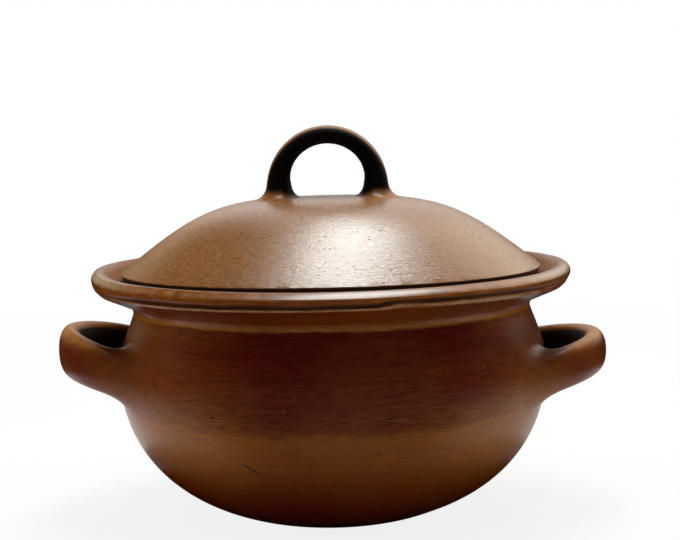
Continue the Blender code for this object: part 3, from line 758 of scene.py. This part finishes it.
def makeLoop():
    rings = loopRings()
    c, s = (f(fullTurn(loop["steps"]))[None, :] for f in (np.cos, np.sin))
    above = rings[..., 2] - onDome(np.hypot(rings[..., 0], rings[..., 1]))
    # painted shade over the loop, taken back on the lit strip outside
    paintedShade = ramp(above + loop["shadeInside"] * ramp(-c, *loop["insideFrom"]), *loop["shadeFrom"])
    high = ramp(rings[..., 2], lid["crown"] + loop["highFrom"], loop["top"] - loop["highFrom"])
    strip = ramp(c, portion(high, *loop["stripFrom"]), portion(high, *loop["stripTo"]))
    strip = strip * portion(high, *loop["stripShare"])
    # painted highlight along the lit strip, laid on as rubbing
    wornAndLit = loop["litStripWear"] * near(np.abs(s), *loop["wearAt"]) * strip * paintedShade
    paintedShade = paintedShade * (1 - loop["stripClean"] * strip)
    masks = {"wornAndLit": wornAndLit, "inner": 0.0, "tone": loop["tone"], "paintedShade": paintedShade,
             "shine": loop["shine"] * (1 - paintedShade)}
    return addSkin("lidLoop", rings, masks, "lid", "lid_handle")


potBody = makePot()
leftEar = makeEar("left")
rightEar = makeEar("right")
lidDome = makeLid()
lidLoop = makeLoop()


# Shader helpers

def plug(tree, made, inputs):
    # another node's socket is linked, anything else is set as the value
    for key, value in inputs.items():
        if isinstance(value, bpy.types.NodeSocket):
            tree.links.new(value, made.inputs[key])
        else:
            made.inputs[key].default_value = value
    return made


def addNode(tree, kind, inputs=None, **settings):
    made = tree.nodes.new(kind)
    for key, value in settings.items():
        setattr(made, key, value)
    return plug(tree, made, inputs or {})


def calc(tree, operation, *values):
    return addNode(tree, "ShaderNodeMath", dict(enumerate(values)), operation=operation).outputs[0]


def times(tree, first, second):
    return calc(tree, "MULTIPLY", first, second)


def total(tree, start, *shares):
    # the start plus each value times its own weight
    for value, weight in shares:
        start = calc(tree, "MULTIPLY_ADD", value, weight, start)
    return start


def centred(tree, value):
    return calc(tree, "SUBTRACT", value, 0.5)


def fit(tree, value, low, high, bottom=0.0, top=1.0):
    # a value from low..high to bottom..top, with a smooth step
    made = addNode(tree, "ShaderNodeMapRange", {0: value, 1: low, 2: high, 3: bottom, 4: top},
                   interpolation_type="SMOOTHSTEP")
    return made.outputs[0]


def noise(tree, vector, scale, detail, roughness, distortion=0.0):
    return addNode(tree, "ShaderNodeTexNoise", {"Vector": vector, "Scale": scale, "Detail": detail,
                                                "Roughness": roughness, "Distortion": distortion}).outputs[0]


def lengthOf(tree, vector):
    return addNode(tree, "ShaderNodeVectorMath", {0: vector}, operation="LENGTH").outputs["Value"]


def laidOut(tree, vector, place, turn, size=(1, 1, 1)):
    # the vector in a space with its own place, turn and size
    return addNode(tree, "ShaderNodeMapping", {0: vector, 1: place, 2: turn, 3: size},
                   vector_type="TEXTURE").outputs[0]


def tint(tree, share, first, second, blend="MIX"):
    made = addNode(tree, "ShaderNodeMix", {0: share, 6: first, 7: second}, data_type="RGBA", blend_type=blend)
    return made.outputs[2]


def colour(r, g, b):
    return (r, g, b, 1.0)


def newGroup(name, inputs, outputs):
    # every group reads a vector; its other inputs are numbers, or vectors where no number is given
    tree = bpy.data.node_groups.new(name, "ShaderNodeTree")
    for socket, value in {"Vector": None, **inputs}.items():
        kind = "NodeSocketVector" if value is None else "NodeSocketFloat"
        made = tree.interface.new_socket(socket, in_out="INPUT", socket_type=kind)
        if value is not None:
            made.default_value = value
    for socket, kind in outputs.items():
        tree.interface.new_socket(socket, in_out="OUTPUT", socket_type="NodeSocket" + kind)
    return tree, tree.nodes.new("NodeGroupInput").outputs, tree.nodes.new("NodeGroupOutput").inputs


def use(tree, group, inputs):
    return addNode(tree, "ShaderNodeGroup", inputs, node_tree=group).outputs


def wheelSpace():
    # space of the potter's wheel: direction round the axis times Reach, height + Lean * radius times Pitch
    tree, put, out = newGroup("wheelSpace", {"Reach": 3.0, "Pitch": 400.0, "Lean": 0.6}, {"Vector": "Vector"})
    part = addNode(tree, "ShaderNodeSeparateXYZ", {0: put["Vector"]}).outputs
    square = calc(tree, "ADD", times(tree, part["X"], part["X"]), times(tree, part["Y"], part["Y"]))
    radius = calc(tree, "SQRT", square)
    safe = calc(tree, "MAXIMUM", radius, 0.02)  # no swirl round the axis
    x, y = (times(tree, calc(tree, "DIVIDE", part[key], safe), put["Reach"]) for key in "XY")
    z = times(tree, total(tree, part["Z"], (radius, put["Lean"])), put["Pitch"])
    tree.links.new(addNode(tree, "ShaderNodeCombineXYZ", {0: x, 1: y, 2: z}).outputs[0], out["Vector"])
    return tree


def burnish(space):
    # lines left by the burnishing stone: broad soft bands, and fine hair lines that come and go
    tree, put, out = newGroup("burnishLines", {"Lean": 0.6, "Band Reach": 0.9, "Band Pitch": 170.0,
                                               "Hair Reach": 3.0, "Hair Pitch": 900.0},
                              {"Band": "Float", "Hair": "Float"})
    for name, detail, roughness, low, high in (("Band", 3.0, 0.6, 0.3, 0.7), ("Hair", 2.5, 0.65, 0.28, 0.72)):
        around = use(tree, space, {"Vector": put["Vector"], "Reach": put[name + " Reach"],
                                   "Pitch": put[name + " Pitch"], "Lean": put["Lean"]})[0]
        tree.links.new(fit(tree, noise(tree, around, 1.0, detail, roughness), low, high), out[name])
    return tree


def fireCloud():
    # soft patches where the smoke or the flame of the firing licked the clay
    tree, put, out = newGroup("fireClouds", {"Scale": 9.0, "Low": 0.4, "High": 0.7}, {"Mask": "Float"})
    cloud = noise(tree, put["Vector"], put["Scale"], 5.0, 0.55, 0.4)
    tree.links.new(fit(tree, cloud, put["Low"], put["High"]), out["Mask"])
    return tree


def grit():
    # scattered grains: cells of which a share, Rate, hold a dot of about the set Size with a soft rim
    tree, put, out = newGroup("gritDots", {"Scale": 400.0, "Rate": 0.2, "Size": 0.3}, {"Mask": "Float"})
    cell = addNode(tree, "ShaderNodeTexVoronoi", {"Vector": put["Vector"], "Scale": put["Scale"]})
    pick = addNode(tree, "ShaderNodeSeparateColor", {0: cell.outputs["Color"]}).outputs
    chosen = calc(tree, "LESS_THAN", pick[0], put["Rate"])
    size = times(tree, put["Size"], total(tree, 0.5, (pick[1], 0.7)))
    dot = fit(tree, cell.outputs["Distance"], times(tree, size, 0.45), size, 1.0, 0.0)
    tree.links.new(times(tree, chosen, dot), out["Mask"])
    return tree


def toolMark():
    # one dent or scratch: 1 inside an ellipsoid of the set Size, turned and placed in the piece's own space
    tree, put, out = newGroup("toolMark", {"Place": None, "Turn": None, "Size": None}, {"Mask": "Float"})
    away = lengthOf(tree, laidOut(tree, *(put[key] for key in ("Vector", "Place", "Turn", "Size"))))
    tree.links.new(fit(tree, away, 0.55, 1.0, 1.0, 0.0), out["Mask"])
    return tree


def edgeWearAndLight():
    # edges with rubbing, and painted light laid on as rubbing: the piece's own mask of both, broken up by
    # noise
    tree, put, out = newGroup("edgeWearAndLight", {"Worn": 0.0, "Scale": 130.0}, {"Mask": "Float"})
    rag = noise(tree, put["Vector"], put["Scale"], 4.0, 0.65)
    broken = total(tree, put["Worn"], (centred(tree, rag), 1.5))
    tree.links.new(times(tree, fit(tree, broken, 0.35, 1.05), put["Worn"]), out["Mask"])
    return tree


spaceGroup = wheelSpace()
burnishGroup = burnish(spaceGroup)
cloudGroup = fireCloud()
gritGroup = grit()
markGroup = toolMark()
wearAndLightGroup = edgeWearAndLight()
print("shader groups ready")


# Clay

def clayMaterial(name, look):
    # burnished slip over fired clay: two colours mixed by the piece's own tone, which holds painted light
    # too, bands and clouds, then hair lines, rubbing with painted light, pale grains, dark pits, unslipped
    # clay inside, and painted shade
    made = bpy.data.materials.new(name)
    made.use_nodes = True
    tree = made.node_tree
    tree.nodes.clear()
    place = addNode(tree, "ShaderNodeTexCoord").outputs["Object"]
    if look["turn"]:  # turns the strap's own axis to Z, so that the lines follow the strap
        place = laidOut(tree, place, look["centre"], look["turn"])
    wornAndLit, inner, tone, paintedShade, shine, combed, dry = (
        addNode(tree, "ShaderNodeAttribute", attribute_name=key).outputs["Fac"]
        for key in ("wornAndLit", "inner", "tone", "paintedShade", "shine", "combed", "dry"))

    def placed(group, socket="Mask", vector=place, **values):
        # one output of a group, read at the surface's own place unless another vector is given
        return use(tree, group, {"Vector": vector, **values})[socket]

    lines = use(tree, burnishGroup, {"Vector": place, "Lean": look["lean"], "Band Pitch": look["bandPitch"],
                                     "Hair Pitch": look["hairPitch"], "Hair Reach": look["hairReach"]})
    cloud = placed(cloudGroup, Scale=look["cloudScale"], Low=look["cloudFrom"][0], High=look["cloudFrom"][1])
    dash = placed(spaceGroup, "Vector", Reach=look["pitReach"], Pitch=look["pitPitch"], Lean=look["lean"])
    pits = placed(gritGroup, vector=dash, Scale=1.0, Rate=look["pitRate"], Size=look["pitSize"])
    if look["pitCrowd"]:
        scale, low, high = look["pitCrowd"]
        pits = times(tree, pits, placed(cloudGroup, Scale=scale, Low=low, High=high))
    for spot, turn, size in look["marks"]:
        pits = calc(tree, "MAXIMUM", pits, placed(markGroup, Place=spot, Turn=turn, Size=size))
    grains = placed(gritGroup, Scale=look["grainScale"], Rate=look["grainRate"], Size=look["grainSize"])
    wearAndLight = placed(wearAndLightGroup, Worn=wornAndLit)
    fine = noise(tree, place, look["fineScale"], 3.0, 0.6)
    lump = noise(tree, place, look["lumpScale"], 3.0, 0.5)
    strength = calc(tree, "ADD", combed, look["hairLeast"])  # the lines show most where the belly was combed
    hair = times(tree, centred(tree, lines["Hair"]), strength)

    share = total(tree, tone, (centred(tree, lines["Band"]), look["bandShare"]),
                  (centred(tree, cloud), look["cloudShare"]))
    base = tint(tree, share, colour(*look["deep"]), colour(*look["warm"]))
    strokes = total(tree, 1.0, (hair, look["hairTone"]), (centred(tree, fine), look["fineTone"]))
    base = tint(tree, 1.0, base, strokes, "MULTIPLY")
    for mask, key in ((wearAndLight, "rubbedAndLit"), (grains, "grain"), (pits, "pit"), (inner, "raw"), (paintedShade, "paintedShade")):
        base = tint(tree, times(tree, mask, look[key + "Tone"]), base, colour(*look[key]))

    rough = total(tree, look["rough"], (lines["Hair"], look["roughSpread"]), (cloud, look["cloudRough"]),
                  (wearAndLight, look["rubbedAndLitRough"]), (pits, look["pitRough"]), (inner, look["rawRough"]),
                  (paintedShade, look["paintedShadeRough"]), (dry, look["dryRough"]))
    height = total(tree, 0.0, (lines["Band"], look["bandBump"]), (hair, look["hairBump"]),
                   (lump, look["lumpBump"]), (fine, look["fineBump"]), (pits, -look["pitBump"]),
                   (grains, look["grainBump"]))
    bump = addNode(tree, "ShaderNodeBump", {"Height": height, "Strength": look["bump"],
                                            "Distance": look["bumpDepth"]})

    shader = addNode(tree, "ShaderNodeBsdfPrincipled", {
        "Base Color": base, "Roughness": rough, "Normal": bump.outputs[0],
        "Specular IOR Level": look["gloss"], "Coat Weight": shine, "Coat Roughness": look["coatRough"]})
    tree.links.new(shader.outputs[0], addNode(tree, "ShaderNodeOutputMaterial").inputs[0])
    return made


bodyLook = dict(
    deep=(0.086, 0.0034, 0.0002), warm=(0.245, 0.072, 0.0030), lean=0.7,
    bandPitch=260.0, bandShare=0.07, bandBump=0.20,
    cloudScale=9.0, cloudFrom=(0.34, 0.68), cloudShare=0.20, cloudRough=0.05,
    hairPitch=1900.0, hairReach=13.0, hairTone=0.60, hairLeast=0.45, hairBump=0.48,
    fineScale=850.0, fineTone=0.30, fineBump=0.25, lumpScale=55.0, lumpBump=0.8,
    rubbedAndLit=(0.38, 0.23, 0.12), rubbedAndLitTone=0.8, rubbedAndLitRough=0.12,
    grain=(0.50, 0.38, 0.27), grainScale=800.0, grainRate=0.002, grainSize=0.36, grainTone=0.6,
    grainBump=0.25,
    pit=(0.008, 0.002, 0.001), pitReach=26.0, pitPitch=620.0, pitRate=0.002, pitSize=0.42,
    pitTone=0.8, pitRough=0.40, pitBump=0.9, pitCrowd=None,
    marks=[((-0.0591, -0.1012, 0.0704), (0, 0.35, -0.53), (0.0017, 0.0020, 0.0007)),  # a nick
           ((-0.0403, -0.1022, 0.0443), (0, 0.57, -0.33), (0.0100, 0.0024, 0.0006))],  # and a long scratch
    raw=(0.16, 0.07, 0.03), rawTone=0.75, rawRough=0.22,
    # the black of the painted shade, and the roughness there
    paintedShade=(0.004, 0.002, 0.0015), paintedShadeTone=1.0, paintedShadeRough=0.30, dryRough=0.30,
    rough=0.26, roughSpread=0.06, bump=0.30, bumpDepth=0.0002, gloss=0.27, coatRough=0.24,
    turn=None, centre=None,
)
earLook = dict(bodyLook, rubbedAndLit=(0.42, 0.18, 0.055), hairLeast=0.12, lumpBump=1.1, pitRate=0.0, marks=[],
               rough=0.29)
lidLook = dict(bodyLook, deep=(0.232, 0.086, 0.022), warm=(0.345, 0.140, 0.040), lean=-0.8, cloudShare=0.44,
               hairPitch=1100.0, hairReach=30.0, hairTone=0.36, hairLeast=1.0, hairBump=0.58,
               fineTone=0.60, fineBump=0.75, grain=(0.62, 0.47, 0.33), grainRate=0.20,
               pitReach=36.0, pitPitch=900.0, pitRate=0.34, pitTone=0.50, pitCrowd=(70.0, 0.42, 0.62),
               marks=[], rough=0.235, roughSpread=0.07, bump=0.45, gloss=1.0)
loopLook = dict(lidLook, lean=0.0, grainRate=0.03, pitRate=0.04, rough=0.38, gloss=0.05,
                turn=(pi / 2, 0, 0), centre=(loop["middle"], 0, lid["crown"] + loop["leg"]))

earClay = clayMaterial("earClay", earLook)
for piece, clay in ((potBody, clayMaterial("bodyClay", bodyLook)), (leftEar, earClay), (rightEar, earClay),
                    (lidDome, clayMaterial("lidClay", lidLook)),
                    (lidLoop, clayMaterial("loopClay", loopLook))):
    piece.data.materials.append(clay)
print("clay materials ready")


# Studio

studio = dict(
    floorTone=0.86, floorRough=0.7, floorGloss=0.2, floorSize=14.0,
    fadeStart=0.30, fadeEnd=1.2, fadeBase=0.85,  # the floor goes over to plain white outwards
    ambient=0.28,  # what the world sends to matt surfaces; the camera sees it white
    lamps=dict(  # place, target, width, length, watts, colour, seen in gloss
        overhead=((0.11, 0.25, 1.55), (0.03, 0.03, 0.15), 0.58, 1.12, 19.8, (0.91, 1.0, 0.99), True),
        rightBack=((0.90, 0.95, 1.00), (0.0, 0.0, 0.15), 0.90, 0.80, 1.8, (1.0, 0.86, 0.46), True),
        leftBack=((-0.95, 1.15, 0.50), (0.0, 0.0, 0.10), 0.90, 0.70, 0.70, (1.0, 0.94, 0.66), True),
        leftFill=((-1.60, 0.15, 0.55), (0.0, 0.0, 0.10), 0.80, 0.80, 9.0, (1, 1, 1), False),
        rightFill=((1.60, 0.15, 0.55), (0.0, 0.0, 0.10), 0.80, 0.80, 5.0, (1, 1, 1), False),
    ),
    clothTone=0.004, clothGrey=0.32, clothRough=0.9,
    roundRadius=2.2, roundClimb=(4, 68),
    roundBearing=(64, 340),  # from straight behind, clockwise: the rest is left open
    # front cloth: half its width, place and height where it begins, and how much it gains
    frontStart=(0.21, -0.125, 0.002), frontGain=(1.5, -1.4, 1.9),
    # cloths on the floor, as radius and height of their rings
    footCloth=((0.02, 0.0015), (0.118, 0.0015)), paleCloth=((0.118, 0.0014), (0.160, 0.0014)),
    farCloth=((0.33, 0.0015), (2.3, 0.0015), (2.3, 0.50)),
)


def whiteRays(tree):
    # 1 for what the camera sees, straight, in a gloss or through glass
    path = addNode(tree, "ShaderNodeLightPath").outputs
    return calc(tree, "MAXIMUM", path["Is Camera Ray"],
                calc(tree, "MAXIMUM", path["Is Glossy Ray"], path["Is Transmission Ray"]))


def stageSheet(name, grid, material):
    # a grid of points, row by row, as four-sided faces
    mesh = bpy.data.meshes.new(name)
    mesh.from_pydata(grid.reshape(-1, 3).tolist(), [], gridFaces(*grid.shape[:2], False).tolist())
    mesh.materials.append(material)
    mesh.shade_smooth()
    sheet = bpy.data.objects.new(name, mesh)
    scene.collection.objects.link(sheet)
    return sheet


def mattMaterial(name, tone, rough, gloss):
    made = bpy.data.materials.new(name)
    made.use_nodes = True
    plug(made.node_tree, made.node_tree.nodes["Principled BSDF"],
         {"Base Color": colour(tone, tone, tone), "Roughness": rough, "Specular IOR Level": gloss})
    return made


def floorMaterial():
    # pale matt floor that goes over to plain white away from the pot
    made = mattMaterial("paleFloor", studio["floorTone"], studio["floorRough"], studio["floorGloss"])
    tree = made.node_tree
    away = lengthOf(tree, addNode(tree, "ShaderNodeTexCoord").outputs["Object"])
    share = fit(tree, away, studio["fadeStart"], studio["fadeEnd"], studio["fadeBase"])
    share = times(tree, share, whiteRays(tree))
    white = addNode(tree, "ShaderNodeEmission", {"Color": colour(1, 1, 1), "Strength": 1.0})
    both = addNode(tree, "ShaderNodeMixShader", {0: share, 1: tree.nodes["Principled BSDF"].outputs[0],
                                                 2: white.outputs[0]})
    tree.links.new(both.outputs[0], tree.nodes["Material Output"].inputs[0])
    return made


def hangCloths():
    black, grey = (mattMaterial(name, studio[tone], studio["clothRough"], 0.0)
                   for name, tone in (("blackCloth", "clothTone"), ("greyCloth", "clothGrey")))
    # on a round frame: part of a band of a sphere about the pot
    bearing, climb = np.meshgrid(np.radians(np.linspace(*studio["roundBearing"], 73)),
                                 np.radians(np.linspace(*studio["roundClimb"], 13)))
    sphere = stacked(np.sin(bearing) * np.cos(climb), np.cos(bearing) * np.cos(climb), np.sin(climb))
    cloths = [stageSheet("roundCloth", studio["roundRadius"] * sphere, black)]
    # in front: along the floor, widening, then up behind the camera
    across, t = np.meshgrid(np.linspace(-1, 1, 9), np.linspace(0, 1, 21))
    out, up = np.clip(t / 0.5, 0, 1), np.clip((t - 0.5) / 0.5, 0, 1)
    wide, forth, high = (start + gain * share for start, gain, share
                         in zip(studio["frontStart"], studio["frontGain"], (out, out, up)))
    cloths.append(stageSheet("frontCloth", stacked(across * wide, forth, high), black))
    # and round ones on the floor: under the pot, about it, and far out, where it turns up into a low wall
    turn = np.linspace(0, 2 * pi, 49)
    for name, cloth in (("footCloth", black), ("paleCloth", grey), ("farCloth", black)):
        reach, level = np.array(studio[name]).T[..., None]
        cloths.append(stageSheet(name, polar(reach, turn, level), cloth))
    for cloth in cloths:  # seen only in the gloss of the clay
        cloth.visible_camera = cloth.visible_diffuse = cloth.visible_shadow = False


def makeStudio():
    half = studio["floorSize"] / 2
    x, y = np.meshgrid(np.linspace(-half, half, 9), np.linspace(-half, half, 9))
    stageSheet("floor", stacked(x, y, 0), floorMaterial())
    hangCloths()

    for name, (place, target, width, length, watts, hue, inGloss) in studio["lamps"].items():
        lamp = bpy.data.lights.new(name, "AREA")
        lamp.shape, lamp.size, lamp.size_y, lamp.energy, lamp.color = "RECTANGLE", width, length, watts, hue
        made = bpy.data.objects.new(name, lamp)
        made.location = place
        made.rotation_euler = (Vector(place) - Vector(target)).to_track_quat("Z", "Y").to_euler()
        made.visible_glossy = inGloss
        scene.collection.objects.link(made)

    world = bpy.data.worlds.new("studioWorld")
    world.use_nodes = True
    tree = world.node_tree
    tree.nodes.clear()
    soft, white = (addNode(tree, "ShaderNodeBackground", {"Color": colour(1, 1, 1), "Strength": strength})
                   for strength in (studio["ambient"], 1.0))
    both = addNode(tree, "ShaderNodeMixShader", {0: whiteRays(tree), 1: soft.outputs[0], 2: white.outputs[0]})
    tree.links.new(both.outputs[0], addNode(tree, "ShaderNodeOutputWorld").inputs[0])
    scene.world = world
    print("studio ready")


makeStudio()


# Camera, matched to the photograph's frame of 680 by 540

view = dict(eye=(0.0050, -0.8, 0.208), down=5.433, roll=-1.3, focalPixels=1451, framePixels=680)
lens = bpy.data.cameras.new("camera")
lens.sensor_width = 36
lens.lens = view["focalPixels"] / view["framePixels"] * lens.sensor_width
camera = bpy.data.objects.new("camera", lens)
tilt = Matrix.Rotation(radians(90 - view["down"]), 4, "X")
roll = Matrix.Rotation(radians(view["roll"]), 4, "Z")
camera.matrix_world = Matrix.Translation(view["eye"]) @ tilt @ roll
scene.collection.objects.link(camera)
scene.camera = camera
print("camera ready")
